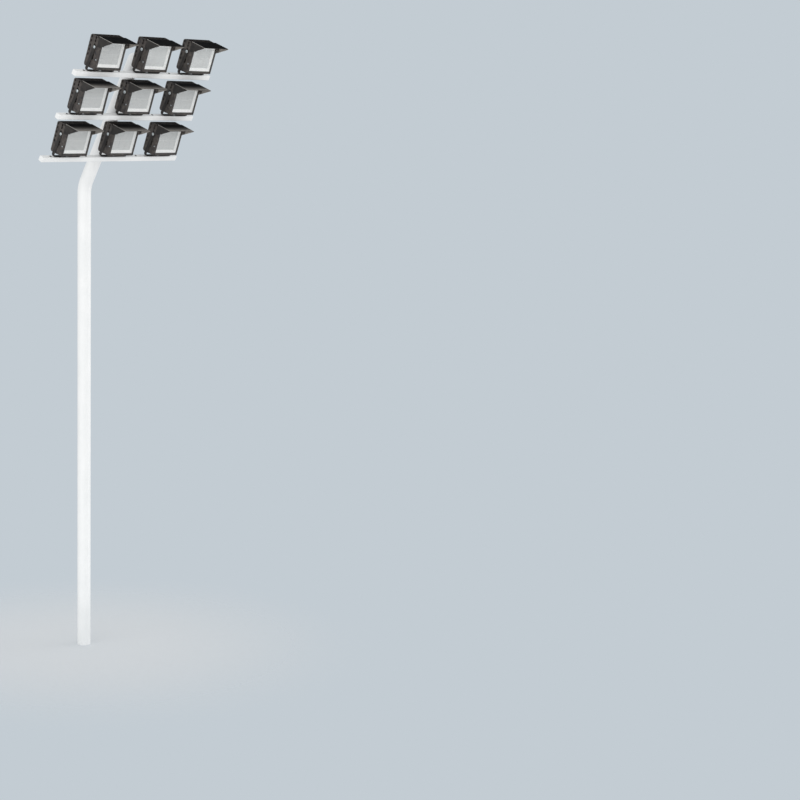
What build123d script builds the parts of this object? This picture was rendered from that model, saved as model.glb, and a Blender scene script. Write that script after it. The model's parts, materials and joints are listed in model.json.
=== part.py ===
from build123d import *
from math import cos, radians, sin, tan
import os

# Stadium floodlight pylon: a round tube mast, cranked forward at its head, with three
# crossbars, each carrying three hooded lamps in U-brackets.
# Millimetres. +Z is up, the crossbars lie along X, and the lamps face -Y.
# The origin is the middle of the mast's foot, at ground level.

# Mast
mast_diameter = 240.0
knee_height = 8330.0
knee_bend_radius = 520.0
knee_mitres = 3
head_lean = 29.0
head_overhang = 217.0
head_dome_radius = 105.0
head_dome_bands = 2

# Square crossbars, and the stubs that hold them in front of the head
bar_width = 90.0
bar_corner_chamfer = 5.0
bar_left_overhang = 550.0
bar_right_overhang = 475.0
bar_offset = 340.0
first_bar_distance = 785.0
bar_pitch = 824.0
row_names = ["bottom", "middle", "top"]
stub_width = 84.0

# Lamps along each crossbar
lamp_pitch = 1100.0
column_names = ["left", "centre", "right"]
lamp_tilt = 20.0

# Gap between pieces that seat on each other, and round the front panel
seat_gap = 0.3

# U-bracket, a folded flat bar
bracket_thickness = 8.0
bracket_width = 60.0
bracket_bend = 45.0
bracket_leg_chamfer = 18.0
pivot_height = 437.0
side_clearance = 6.0

# Lamp housing, measured from the pivot axis: forward, and up along the lamp
glass_width = 524.0
glass_height = 436.0
glass_bottom = -318.0
bezel_margin = 40.0
bezel_front = 115.0
bezel_chamfer = 9.0
tray_corner_chamfer = 14.0
tray_depth = 95.0
recess_depth = 46.0

# Heat sink behind the tray
sink_depth = 175.0
sink_foot_depth = 65.0
sink_chamfer_rise = 125.0
sink_top_rise = 26.0
sink_top_chamfer = 26.0
fin_count = 10
fin_thickness = 5.0
end_plate_thickness = 9.0
end_plate_chamfer = 55.0

# Vent slots through the end plates
slot_depth = 30.0
slot_width = 22.0
slot_height = 40.0
slot_setback = 36.0
slot_count = 6
slot_pitch = 77.0
lowest_slot = -232.0

# Pivot bolts
pivot_radius = 8.0
pivot_sides = 10
pivot_running_gap = 0.05
pivot_boss_radius = 30.0
pivot_head_radius = 22.0
pivot_head_height = 11.0

# Cable gland on the wiring block at the left foot of the heat sink
wiring_block_width = 60.0
wiring_block_rise = 150.0
gland_radius = 19.0
gland_length = 28.0
gland_nut_radius = 15.0
gland_nut_length = 14.0

# LED panel in the front recess
panel_thickness = 40.0
panel_rim = 10.0
reflector_side_run = 28.0
reflector_end_run = 42.0
reflector_depth = 30.0

# Visor, a bent sheet over the front
visor_sheet = 3.0
visor_rise = 80.0
visor_reach = 245.0
visor_back_reach = 70.0
visor_lip = 14.0
cheek_drop = 172.0
visor_bend = 5.0

# Worked-out sizes
mast_radius = mast_diameter / 2
bar_half = bar_width / 2
knee_tangent = knee_bend_radius * tan(radians(head_lean / 2))
bar_length = bar_left_overhang + (len(column_names) - 1) * lamp_pitch + bar_right_overhang
head_length = first_bar_distance + (len(row_names) - 1) * bar_pitch + head_overhang
housing_width = glass_width + 2 * bezel_margin
housing_height = glass_height + 2 * bezel_margin
housing_side = housing_width / 2
housing_bottom = glass_bottom - bezel_margin
housing_top = housing_bottom + housing_height
housing_middle = housing_bottom + housing_height / 2
tray_back = bezel_front - tray_depth
sink_back = tray_back - sink_depth
sink_top = housing_top + sink_top_rise
bracket_inner_side = housing_side + side_clearance
bracket_outer_side = bracket_inner_side + bracket_thickness
panel_front = bezel_front - recess_depth + panel_thickness
mouth_width = glass_width - 2 * panel_rim
mouth_height = glass_height - 2 * panel_rim
visor_inner_side = housing_side + seat_gap
visor_top = glass_bottom + glass_height + visor_rise
column_places = [(i - 1) * lamp_pitch for i in range(len(column_names))]
bar_distances = [first_bar_distance + i * bar_pitch for i in range(len(row_names))]

# Planes of the leaning head: local Z runs up the arm, local Y points backward
lean = radians(head_lean)
tilt = radians(lamp_tilt)
knee_point = Vector(0, 0, knee_height)
head_up = Vector(0, -sin(lean), cos(lean))
head_forward = Vector(0, -cos(lean), -sin(lean))
lamp_up = Vector(0, -sin(tilt), cos(tilt))
along_bar = Vector(1, 0, 0)


def head_point(across, forward, up):
    """A point of the head frame, in the mast's frame."""
    return knee_point + along_bar * across + head_forward * forward + head_up * up


def bend_plane(angle):
    """The plane across the knee at an angle round its bend, in degrees, centred on the tube."""
    turn = radians(angle)
    across_bend = Vector(0, cos(turn), sin(turn))
    centre = Vector(0, -knee_bend_radius, knee_height - knee_tangent) + across_bend * knee_bend_radius
    return Plane(origin=centre, x_dir=along_bar, z_dir=(0, -sin(turn), cos(turn)))


def finish(piece, name):
    """Label a piece and write it to its own file."""
    piece.part.label = name
    export_step(piece.part, f"parts/{name}.step")


os.makedirs("parts", exist_ok=True)

# Mast: straight shaft, bent knee and leaning head with a domed end
with BuildPart() as mast_shaft:
    with BuildSketch(Plane.XY):
        Circle(mast_radius)
    extrude(amount=knee_height - knee_tangent)
finish(mast_shaft, "mast_shaft")

# The knee is straight lengths of tube mitred together round the bend
mitre_step = head_lean / knee_mitres
cut_angles = [0.0] + [(i + 0.5) * mitre_step for i in range(knee_mitres)] + [head_lean]
knee_lengths = []
for i in range(knee_mitres + 1):
    with BuildPart() as knee_length:
        with BuildSketch(bend_plane(i * mitre_step)):
            Circle(mast_radius)
        extrude(amount=mast_diameter, both=True)
        split(bisect_by=bend_plane(cut_angles[i]), keep=Keep.TOP)
        split(bisect_by=bend_plane(cut_angles[i + 1]), keep=Keep.BOTTOM)
    knee_lengths.append(knee_length.part)
with BuildPart() as mast_knee:
    add(knee_lengths)
finish(mast_knee, "mast_knee")

dome_angles = [radians(90 * i / head_dome_bands) for i in range(head_dome_bands + 1)]
dome_points = [(mast_radius - head_dome_radius * (1 - cos(a)), head_length - head_dome_radius * (1 - sin(a)))
               for a in dome_angles]
with BuildPart() as head_arm:
    with BuildSketch(Plane(origin=knee_point, x_dir=along_bar, z_dir=head_forward)):
        Polygon((0, knee_tangent), (mast_radius, knee_tangent), *dome_points, (0, head_length), align=None)
    revolve(axis=Axis(knee_point, head_up))
finish(head_arm, "head_arm")

# Crossbars, and the square stubs between them and the head, coped to the round tube
for row, distance in zip(row_names, bar_distances):
    bar_left_end = head_point(column_places[0] - bar_left_overhang, bar_offset, distance)
    with BuildPart() as crossbar:
        with BuildSketch(Plane(origin=bar_left_end, x_dir=head_up, z_dir=along_bar)) as bar_section:
            Rectangle(bar_width, bar_width)
            chamfer(bar_section.vertices(), length=bar_corner_chamfer)
        extrude(amount=bar_length)
    finish(crossbar, f"crossbar_{row}")

    arm_centre = head_point(0, 0, distance)
    with BuildPart() as crossbar_stub:
        with BuildSketch(Plane(origin=arm_centre, x_dir=along_bar, z_dir=head_forward)):
            Rectangle(stub_width, stub_width)
        extrude(amount=bar_offset - bar_half - seat_gap)
        with BuildSketch(Plane(origin=arm_centre, x_dir=along_bar, z_dir=head_up)):
            Circle(mast_radius + seat_gap)
        extrude(amount=stub_width, both=True, mode=Mode.SUBTRACT)
    finish(crossbar_stub, f"crossbar_stub_{row}")

# U-bracket: a flat bar folded up at both ends, with clipped leg ends and the pivot holes.
# Drawn with its base on the XY plane and its legs up.
leg_top = pivot_height + bracket_width / 2
with BuildPart() as bracket:
    with BuildSketch(Plane.XZ) as bracket_profile:
        Rectangle(2 * bracket_outer_side, leg_top, align=(Align.CENTER, Align.MIN))
        outer_corners = bracket_profile.vertices().group_by(Axis.Z)[0]
        chamfer(outer_corners, length=bracket_bend + bracket_thickness * tan(radians(45 / 2)))
        with BuildSketch(Plane.XZ, mode=Mode.SUBTRACT) as bracket_inside:
            with Locations((0, bracket_thickness)):
                Rectangle(2 * bracket_inner_side, leg_top, align=(Align.CENTER, Align.MIN))
            chamfer(bracket_inside.vertices().group_by(Axis.Z)[0], length=bracket_bend)
    extrude(amount=bracket_width / 2, both=True)
    with BuildSketch(Plane.YZ) as leg_outline:
        Rectangle(bracket_width, leg_top, align=(Align.CENTER, Align.MIN))
        chamfer(leg_outline.vertices().group_by(Axis.Z)[-1], length=bracket_leg_chamfer)
        with Locations((0, pivot_height)):
            Circle(pivot_radius + pivot_running_gap, mode=Mode.SUBTRACT)
    extrude(amount=bracket_outer_side, both=True, mode=Mode.INTERSECT)

# Lamp housing: front tray with a bezel, finned heat sink, wiring block and pivot bolts.
# Drawn with the pivot axis along X through the origin, facing -Y.
fin_step = (housing_width - end_plate_thickness) / (fin_count + 1)
fin_planes = [Plane.YZ.offset((i - (fin_count - 1) / 2) * fin_step) for i in range(fin_count)]
end_plate_place = housing_side - end_plate_thickness / 2
end_planes = [Plane.YZ.offset(-end_plate_place), Plane.YZ.offset(end_plate_place)]
sink_outline = [
    (-tray_back, housing_bottom),
    (-tray_back + sink_foot_depth, housing_bottom),
    (-sink_back, housing_bottom + sink_chamfer_rise),
    (-sink_back, sink_top - sink_top_chamfer),
    (-sink_back - sink_top_chamfer, sink_top),
    (-tray_back, sink_top),
]
end_plate_outline = [
    (-tray_back, housing_bottom),
    (-sink_back - end_plate_chamfer, housing_bottom),
    (-sink_back, housing_bottom + end_plate_chamfer),
    *sink_outline[3:],
]
slot_places = [(-sink_back - slot_setback, lowest_slot + i * slot_pitch) for i in range(slot_count)]
block_outline = sink_outline[:3] + [
    (-sink_back, housing_bottom + wiring_block_rise),
    (-tray_back, housing_bottom + wiring_block_rise),
]
block_centre = housing_side - wiring_block_width / 2
chamfer_run = sink_depth - sink_foot_depth
gland_plane = Plane(
    origin=(-block_centre, -sink_back - chamfer_run / 2, housing_bottom + sink_chamfer_rise / 2),
    x_dir=along_bar,
    z_dir=(0, sink_chamfer_rise, -chamfer_run),
)

with BuildPart() as housing:
    with BuildSketch(Plane.XZ.offset(tray_back)) as tray_outline:
        with Locations((0, housing_middle)):
            Rectangle(housing_width, housing_height)
        chamfer(tray_outline.vertices(), length=tray_corner_chamfer)
    extrude(amount=tray_depth)
    chamfer(housing.faces().sort_by(Axis.Y)[0].edges(), length=bezel_chamfer)
    with BuildSketch(Plane.XZ.offset(bezel_front)):
        with Locations((0, housing_middle)):
            Rectangle(glass_width, glass_height)
    extrude(amount=-recess_depth, mode=Mode.SUBTRACT)
    with BuildSketch(*fin_planes):
        Polygon(*sink_outline, align=None)
    extrude(amount=fin_thickness / 2, both=True)
    with BuildSketch(*end_planes):
        Polygon(*end_plate_outline, align=None)
    extrude(amount=end_plate_thickness / 2, both=True)
    with BuildSketch(Plane.YZ.offset(-housing_side)):
        Polygon(*block_outline, align=None)
    extrude(amount=wiring_block_width)
    for side_plane, inward in [(Plane.YZ.offset(-housing_side), 1), (Plane.YZ.offset(housing_side), -1)]:
        with BuildSketch(side_plane):
            with Locations(*slot_places):
                Rectangle(slot_width, slot_height)
        extrude(amount=inward * slot_depth, mode=Mode.SUBTRACT)
    with BuildSketch(gland_plane):
        RegularPolygon(gland_radius, 6)
    extrude(amount=gland_length)
    with BuildSketch(gland_plane.offset(gland_length)):
        RegularPolygon(gland_nut_radius, 6)
    extrude(amount=gland_nut_length)
    with BuildSketch(Plane.YZ.offset(housing_side)):
        RegularPolygon(pivot_boss_radius, pivot_sides)
    extrude(amount=side_clearance - seat_gap)
    with BuildSketch(Plane.YZ.offset(housing_side)):
        RegularPolygon(pivot_radius, pivot_sides)
    extrude(amount=side_clearance + bracket_thickness + seat_gap)
    with BuildSketch(Plane.YZ.offset(bracket_outer_side + seat_gap)):
        RegularPolygon(pivot_head_radius, 6)
    extrude(amount=pivot_head_height)
    with BuildSketch(Plane.YZ.offset(-housing_side)):
        RegularPolygon(pivot_boss_radius, pivot_sides)
    extrude(amount=-(side_clearance - seat_gap))
    with BuildSketch(Plane.YZ.offset(-housing_side)):
        RegularPolygon(pivot_radius, pivot_sides)
    extrude(amount=-(side_clearance + bracket_thickness + seat_gap))
    with BuildSketch(Plane.YZ.offset(-bracket_outer_side - seat_gap)):
        RegularPolygon(pivot_head_radius, 6)
    extrude(amount=-pivot_head_height)

# LED panel: a shallow white tray whose sloping sides are the reflector
with BuildPart() as led_panel:
    with BuildSketch(Plane.XZ.offset(bezel_front - recess_depth)):
        with Locations((0, housing_middle)):
            Rectangle(glass_width - 2 * seat_gap, glass_height - 2 * seat_gap)
    extrude(amount=panel_thickness)
    with Locations((0, -panel_front, housing_middle)):
        Wedge(
            mouth_width,
            reflector_depth,
            mouth_height,
            reflector_side_run,
            reflector_end_run,
            mouth_width - reflector_side_run,
            mouth_height - reflector_end_run,
            align=(Align.CENTER, Align.MIN, Align.CENTER),
            mode=Mode.SUBTRACT,
        )

# Visor: one bent sheet, a flat top and two cheeks that slant from its lip down to the bezel
visor_outline = [
    (-bezel_front + visor_back_reach, visor_top),
    (-bezel_front - visor_reach, visor_top),
    (-bezel_front - visor_reach, visor_top - visor_lip),
    (-bezel_front, visor_top - cheek_drop),
    (-bezel_front + visor_back_reach, visor_top - cheek_drop),
]
with BuildPart() as visor:
    with BuildSketch(Plane.YZ):
        Polygon(*visor_outline, align=None)
    extrude(amount=visor_inner_side + visor_sheet, both=True)
    chamfer(visor.edges().filter_by(Axis.Y).group_by(Axis.Z)[-1], length=visor_bend)
    with BuildSketch(Plane.XZ.offset(bezel_front + visor_reach)):
        with Locations((0, visor_top - visor_sheet)):
            Rectangle(2 * visor_inner_side, housing_height, align=(Align.CENTER, Align.MAX))
    extrude(amount=-(visor_reach + visor_back_reach), mode=Mode.SUBTRACT)

# Nine lamps: each piece is placed on its crossbar by a plane
for row, distance in zip(row_names, bar_distances):
    for column, across in zip(column_names, column_places):
        base_point = head_point(across, bar_offset, distance + bar_half + seat_gap)
        pivot_point = base_point + head_up * pivot_height
        bracket_place = Plane(origin=base_point, x_dir=along_bar, z_dir=head_up)
        lamp_place = Plane(origin=pivot_point, x_dir=along_bar, z_dir=lamp_up)
        placings = [
            ("bracket", bracket, bracket_place),
            ("housing", housing, lamp_place),
            ("led_panel", led_panel, lamp_place),
            ("visor", visor, lamp_place),
        ]
        for kind, pattern, place in placings:
            with BuildPart() as placed:
                with Locations(place):
                    add(pattern.part)
            finish(placed, f"{kind}_{row}_{column}")
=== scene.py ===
import json
from math import atan2, cos, pi, radians, sin, sqrt, tan

import bmesh
import bpy
from mathutils import Matrix, Vector


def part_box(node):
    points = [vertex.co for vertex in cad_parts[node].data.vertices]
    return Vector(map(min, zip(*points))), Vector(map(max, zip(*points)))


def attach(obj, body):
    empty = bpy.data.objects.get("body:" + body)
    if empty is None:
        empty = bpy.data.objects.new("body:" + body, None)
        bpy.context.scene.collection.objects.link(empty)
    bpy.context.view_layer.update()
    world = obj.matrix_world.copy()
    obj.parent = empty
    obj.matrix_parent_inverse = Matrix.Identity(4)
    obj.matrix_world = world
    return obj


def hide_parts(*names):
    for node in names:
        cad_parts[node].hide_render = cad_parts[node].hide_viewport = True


# Stadium floodlight pylon: a white tube mast with a forward-cranked head, three crossbars
# and nine hooded lamps in tilting U-brackets. Shapes are drawn in millimetres and scaled
# to metres as each piece is placed.

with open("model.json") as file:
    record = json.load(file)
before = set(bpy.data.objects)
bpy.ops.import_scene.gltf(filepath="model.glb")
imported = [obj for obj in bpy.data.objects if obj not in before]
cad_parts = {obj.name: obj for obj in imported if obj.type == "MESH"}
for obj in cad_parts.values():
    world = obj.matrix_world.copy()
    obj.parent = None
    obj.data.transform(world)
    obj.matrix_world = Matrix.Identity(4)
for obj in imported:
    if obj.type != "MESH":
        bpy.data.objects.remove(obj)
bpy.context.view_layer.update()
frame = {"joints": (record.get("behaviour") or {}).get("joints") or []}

# The mast and its crossbars
mast_radius = 120.0
knee_bend_radius = 520.0
knee_steps = 14
head_overhang = 217.0
head_dome_radius = 105.0
bar_width = 90.0
bar_corner = 9.0
bar_end_edge = 2.0
bar_corner_segments = 5
bar_left_overhang = 550.0
bar_right_overhang = 475.0
bar_offset = 340.0
grommet_radius = 19.0
grommet_depth = 3.0
grommet_height = 4.5
grommet_places = (-1450.0, -790.0, -640.0, 570.0, 1420.0)
first_bar_distance = 785.0
stub_width = 84.0
stub_corner = 10.0
stub_corner_steps = 4
stub_reach_in = 0.85
weld_radius = 5.0
weld_steps = 6
tube_sides = 96
seat_gap = 0.3

# U-brackets
bracket_thickness = 8.0
bracket_width = 60.0
bracket_bend = 45.0
bracket_leg_rounding = 26.0
bracket_edge = 1.4
base_washer_radius = 27.0
base_washer_thickness = 3.0
base_nut_radius = 18.0
base_nut_height = 17.0
base_thread_radius = 9.9
base_thread_tip = 7.56
base_thread_end = 11.0
bolt_chamfer = 2.0
pivot_height = 437.0
side_clearance = 6.0

# Lamps, from the pivot axis: forward, and up along the lamp
lamp_tilt = radians(20.0)
glass_width = 524.0
glass_height = 436.0
glass_bottom = -318.0
bezel_margin = 40.0
bezel_front = 115.0
bezel_rounding = 9.0
tray_corner = 14.0
tray_depth = 95.0
recess_depth = 46.0
overlap = 1.0
sink_depth = 175.0
sink_foot_depth = 65.0
sink_chamfer_rise = 125.0
sink_top_rise = 26.0
sink_top_chamfer = 26.0
fin_count = 35
fin_thickness = 2.6
fin_corner = 6.0
fin_foot_gap = 4.0
end_plate_thickness = 9.0
end_plate_chamfer = 24.0
end_plate_corner = 8.0
end_plate_edge = 0.8
slot_width = 28.0
slot_height = 44.0
slot_corner = 8.0
rear_slots = [(-119.0, -234.0 + 76.5 * i) for i in range(6)]    # as (forward, up), like those below
lower_slots = [(6.0, up) for up in (-143.0, -190.0, -248.0, -302.0)]
upper_slots = [(-22.0, up) for up in (150.0, 98.0, 30.0)]
lug_width = 36.0
lug_reach = 52.0
lug_low = 56.0
lug_high = 118.0
lug_corner = 3.0
boss_radius = 30.0
bolt_dome_radius = 22.0
bolt_dome_height = 10.0
bolt_shank_radius = 8.0
washer_radius = 26.0
washer_thickness = 2.0
side_bolt_radius = 12.0
side_bolt_place = (93.0, -190.0)
screw_radius = 6.5
screw_height = 2.8
screw_recess = 1.6
bezel_side_screws = (-188.0, -18.0)
hood_screws = ((92.0, 72.0), (66.0, 50.0), (66.0, 104.0))
end_plate_screws = ((-10.0, -340.0), (9.0, 168.0), (-72.0, 164.0), (-60.0, -318.0))
wiring_block_width = 60.0
wiring_block_rise = 150.0
wiring_block_gap = 6.0
wiring_block_corner = 5.0
gland_radius = 19.0
gland_length = 42.0
gland_hexagon_height = 12.0
gland_nut_height = 26.0
gland_rib_count = 12
gland_rib_width = 3.2
gland_mouth_depth = 3.0
seal_thickness = 1.6
seal_lap = 2.0

# LED panel behind the glass
panel_thickness = 40.0
panel_rim = 10.0
reflector_side_run = 28.0
reflector_end_run = 42.0
reflector_top_run = 20.0
reflector_depth = 30.0
reflector_rounding = 2.0
module_columns = 3
module_rows = 2
module_gap = 3.0
module_height = 2.5
module_edge = 0.8
lenses_across = 6
lenses_up = 7
lens_radius = 9.6
lens_height = 6.5
glass_thickness = 4.0
glass_inset = 1.0
glass_edge = 0.5

# Visors
visor_sheet = 3.0
visor_rise = 80.0
visor_reach = 245.0
visor_back_reach = 70.0
visor_lip = 14.0
visor_edge = 0.9
cheek_drop = 172.0
crease_radius = 8.0
hem_width = 11.0
hem_rounding = 1.4
reflection_steps = 8        # strips of sheet each way
reflection_start = 0.28     # where the painted reflection begins, as a share of the way from back to lip

# Sizes worked out from these
housing_side = glass_width / 2 + bezel_margin
housing_bottom = glass_bottom - bezel_margin
housing_top = glass_bottom + glass_height + bezel_margin
housing_middle = (housing_bottom + housing_top) / 2
tray_back = bezel_front - tray_depth
sink_back = tray_back - sink_depth
sink_top = housing_top + sink_top_rise
bracket_inner_side = housing_side + side_clearance
bracket_outer_side = bracket_inner_side + bracket_thickness
panel_back = bezel_front - recess_depth
panel_front = panel_back + panel_thickness
mouth_width = glass_width - 2 * panel_rim
mouth_height = glass_height - 2 * panel_rim
visor_side = housing_side + seat_gap + visor_sheet
visor_top = glass_bottom + glass_height + visor_rise

# Places read from the frame: each lamp's pivot, and the way that the head leans
pivots = {joint["name"].removeprefix("tilt_"): Vector(joint["pos_m"]) for joint in frame["joints"]}
row_names = ["bottom", "middle", "top"]
head_up = (pivots["top_centre"] - pivots["bottom_centre"]).normalized()
head_lean = atan2(-head_up.y, head_up.z)
knee_tangent = knee_bend_radius * tan(head_lean / 2)
shaft_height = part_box("mast_shaft")[1][2] * 1000
knee_height = shaft_height + knee_tangent
bar_pitch = (pivots["top_centre"] - pivots["middle_centre"]).length * 1000
head_length = first_bar_distance + 2 * bar_pitch + head_overhang
lamp_pitch = (pivots["top_right"] - pivots["top_centre"]).length * 1000

to_metres = Matrix.Scale(0.001, 4)
head_place = Matrix.Translation((0, 0, knee_height)) @ Matrix.Rotation(head_lean, 4, "X")


# Materials. A cloudy pattern's scale is one over the size of its blotches, written as 1 / (90 * mm).

mm = 0.001


def colour(code):
    """An sRGB hex colour as the linear RGBA that shaders take."""
    parts = [int(code[i:i + 2], 16) / 255 for i in (1, 3, 5)]
    return (*[p / 12.92 if p <= 0.04045 else ((p + 0.055) / 1.055) ** 2.4 for p in parts], 1.0)


def add_node(tree, kind, settings=None, **sockets):
    """Add a node with its settings, its colour stops, and its inputs, named or numbered as input_0.

    An input takes a value, an output to be linked, or a node whose first output is linked.
    """
    node = tree.nodes.new("ShaderNode" + kind)
    for name, value in (settings or {}).items():
        if name != "stops":
            setattr(node, name, value)
            continue
        elements = node.color_ramp.elements
        while len(elements) < len(value):
            elements.new(1.0)
        for element, (position, code) in zip(elements, value):
            element.position = position
            element.color = colour(code)
    for name, value in sockets.items():
        number = name.removeprefix("input_")
        socket = node.inputs[int(number)] if number.isdigit() else node.inputs[name.replace("_", " ")]
        if isinstance(value, bpy.types.Node):
            value = value.outputs[0]
        if isinstance(value, bpy.types.NodeSocket):
            tree.links.new(value, socket)
        else:
            socket.default_value = value
    return node


def new_material(name):
    """An empty material, its node tree, and the coordinates of the object, in metres."""
    material = bpy.data.materials.new(name)
    material.use_nodes = True
    tree = material.node_tree
    tree.nodes.clear()
    return material, tree, add_node(tree, "TexCoord").outputs["Object"]


def white_gloss_paint():
    """Gloss polyester paint on galvanised tube: near white, with faint cloudy dulling and long run marks."""
    material, tree, place = new_material("white_gloss_paint_on_steel")
    clouds = add_node(tree, "TexNoise", Vector=place, Scale=1 / (420 * mm), Detail=3.0, Roughness=0.55)
    stretched = add_node(tree, "Mapping", Vector=place, Scale=(1.0, 1.0, 0.06))
    runs = add_node(tree, "TexNoise", Vector=stretched, Scale=1 / (38 * mm), Detail=5.0, Roughness=0.55)
    both = add_node(tree, "Math", {"operation": "MULTIPLY_ADD"}, input_0=runs, input_1=0.5, input_2=clouds)
    coat = add_node(tree, "ValToRGB", {"stops": [(0.5, "#eff1f1"), (0.95, "#f7f8f8")]}, Fac=both)
    gloss = add_node(tree, "MapRange", Value=clouds, From_Min=0.3, From_Max=0.7, To_Min=0.28, To_Max=0.44)
    # The paint's orange peel is about 3 mm across and 0.02 mm high
    peel = add_node(tree, "TexNoise", Vector=place, Scale=1 / (3 * mm), Detail=1.0, Roughness=0.55)
    normal = add_node(tree, "Bump", Height=peel, Distance=0.02 * mm)
    shader = add_node(
        tree, "BsdfPrincipled", Base_Color=coat, Roughness=gloss, Normal=normal,
        IOR=1.5, Coat_Weight=0.25, Coat_Roughness=0.12,
    )
    add_node(tree, "OutputMaterial", Surface=shader)
    return material


def black_powder_coat():
    """Matt powder coat on sheet steel: charcoal with a sand-like grain, a little dust and greyer blotches."""
    material, tree, place = new_material("black_powder_coat_on_steel")
    blotches = add_node(tree, "TexNoise", Vector=place, Scale=1 / (90 * mm), Detail=4.0, Roughness=0.55)
    coat = add_node(tree, "ValToRGB", {"stops": [(0.3, "#333232"), (0.7, "#43413f")]}, Fac=blotches)
    sheen = add_node(tree, "MapRange", Value=blotches, From_Min=0.3, From_Max=0.7, To_Min=0.55, To_Max=0.7)
    # The grain is drawn at 1.6 mm, coarser than the coat's own 0.3 mm, so that it shows
    grain = add_node(tree, "TexNoise", Vector=place, Scale=1 / (1.6 * mm), Detail=2.0, Roughness=0.55)
    normal = add_node(tree, "Bump", Height=grain, Distance=0.05 * mm)
    shader = add_node(
        tree, "BsdfPrincipled", Base_Color=coat, Roughness=sheen, Normal=normal,
        IOR=1.5, Specular_IOR_Level=0.06,
    )
    add_node(tree, "OutputMaterial", Surface=shader)
    return material


def painted_crease_highlight_coat():
    """The same coat painted paler along the hoods' top folds: a painted highlight where the rounded creases
    catch light.
    """
    material, tree, place = new_material("painted_crease_highlight_coat")
    highlight_patches = add_node(tree, "TexNoise", Vector=place, Scale=1 / (35 * mm), Detail=3.0, Roughness=0.55)
    coat = add_node(tree, "ValToRGB", {"stops": [(0.3, "#86837f"), (0.7, "#b1aea9")]}, Fac=highlight_patches)
    shader = add_node(tree, "BsdfPrincipled", Base_Color=coat, Roughness=0.5, IOR=1.5)
    add_node(tree, "OutputMaterial", Surface=shader)
    return material


def sooty_powder_coat():
    """The coat on top of the hoods: painted blacker than elsewhere, as painted shade for the little light
    that falls on the tops, and dull. A painted reflection of the crossbar above greys it towards the lip.
    """
    material, tree, place = new_material("sooty_powder_coat")
    patches = add_node(tree, "TexNoise", Vector=place, Scale=1 / (90 * mm), Detail=4.0, Roughness=0.55)
    # Near-black painted shade for the hood tops
    soot = add_node(tree, "ValToRGB", {"stops": [(0.3, "#0b0b0b"), (0.7, "#161515")]}, Fac=patches)
    # Painted reflection of the white crossbar above, greying the hood top towards the lip
    streaks = add_node(tree, "TexNoise", Vector=place, Scale=1 / (40 * mm), Detail=3.0, Roughness=0.55)
    dust = add_node(tree, "ValToRGB", {"stops": [(0.3, "#8a8783"), (0.7, "#a9a5a0")]}, Fac=streaks)
    amount = add_node(tree, "Attribute", {"attribute_name": "dust"}).outputs["Fac"]
    mixed = add_node(tree, "Mix", {"data_type": "RGBA"}, input_0=amount, input_6=soot, input_7=dust)
    grain = add_node(tree, "TexNoise", Vector=place, Scale=1 / (1.6 * mm), Detail=2.0, Roughness=0.55)
    normal = add_node(tree, "Bump", Height=grain, Distance=0.05 * mm)
    shader = add_node(
        tree, "BsdfPrincipled", Base_Color=mixed.outputs[2], Normal=normal,
        Roughness=0.7, IOR=1.5, Specular_IOR_Level=0.01,
    )
    add_node(tree, "OutputMaterial", Surface=shader)
    return material


def hood_inner_grey_sheet():
    """Paler grey on the inner faces of the hoods, lighter than their outer coat: matt, a little patchy."""
    material, tree, place = new_material("hood_inner_grey_sheet_steel")
    patches = add_node(tree, "TexNoise", Vector=place, Scale=1 / (70 * mm), Detail=3.0, Roughness=0.55)
    paler_grey = add_node(tree, "ValToRGB", {"stops": [(0.3, "#8f8a84"), (0.7, "#a9a49e")]}, Fac=patches)
    grain = add_node(tree, "TexNoise", Vector=place, Scale=1 / (2 * mm), Detail=1.0, Roughness=0.55)
    normal = add_node(tree, "Bump", Height=grain, Distance=0.03 * mm)
    shader = add_node(
        tree, "BsdfPrincipled", Base_Color=paler_grey, Normal=normal, Roughness=0.6, IOR=1.5,
    )
    add_node(tree, "OutputMaterial", Surface=shader)
    return material


def black_cast_aluminium():
    """Powder-coated cast aluminium: charcoal with brownish dusty patches, and a cast skin's waviness."""
    material, tree, place = new_material("black_coated_cast_aluminium")
    patches = add_node(tree, "TexNoise", Vector=place, Scale=1 / (55 * mm), Detail=4.0, Roughness=0.55)
    stops = [(0.3, "#38383a"), (0.5, "#4d4845"), (0.7, "#5d5955")]
    coat = add_node(tree, "ValToRGB", {"stops": stops}, Fac=patches)
    sheen = add_node(tree, "MapRange", Value=patches, From_Min=0.3, From_Max=0.7, To_Min=0.38, To_Max=0.55)
    skin = add_node(tree, "TexNoise", Vector=place, Scale=1 / (4 * mm), Detail=4.0, Roughness=0.55)
    normal = add_node(tree, "Bump", Height=skin, Distance=0.08 * mm)
    shader = add_node(
        tree, "BsdfPrincipled", Base_Color=coat, Roughness=sheen, Normal=normal,
        IOR=1.5, Specular_IOR_Level=0.15,
    )
    add_node(tree, "OutputMaterial", Surface=shader)
    return material


def black_anodised_fins():
    """Black anodised fins: dark satin, with brownish patches here and there."""
    material, tree, place = new_material("black_anodised_fin_aluminium")
    patches = add_node(tree, "TexNoise", Vector=place, Scale=1 / (25 * mm), Detail=3.0, Roughness=0.55)
    anodising = add_node(tree, "ValToRGB", {"stops": [(0.3, "#201e1d"), (0.7, "#38322f")]}, Fac=patches)
    sheen = add_node(tree, "MapRange", Value=patches, From_Min=0.3, From_Max=0.7, To_Min=0.38, To_Max=0.55)
    shader = add_node(
        tree, "BsdfPrincipled", Base_Color=anodising, Roughness=sheen, IOR=1.5, Specular_IOR_Level=0.12,
    )
    add_node(tree, "OutputMaterial", Surface=shader)
    return material


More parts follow.
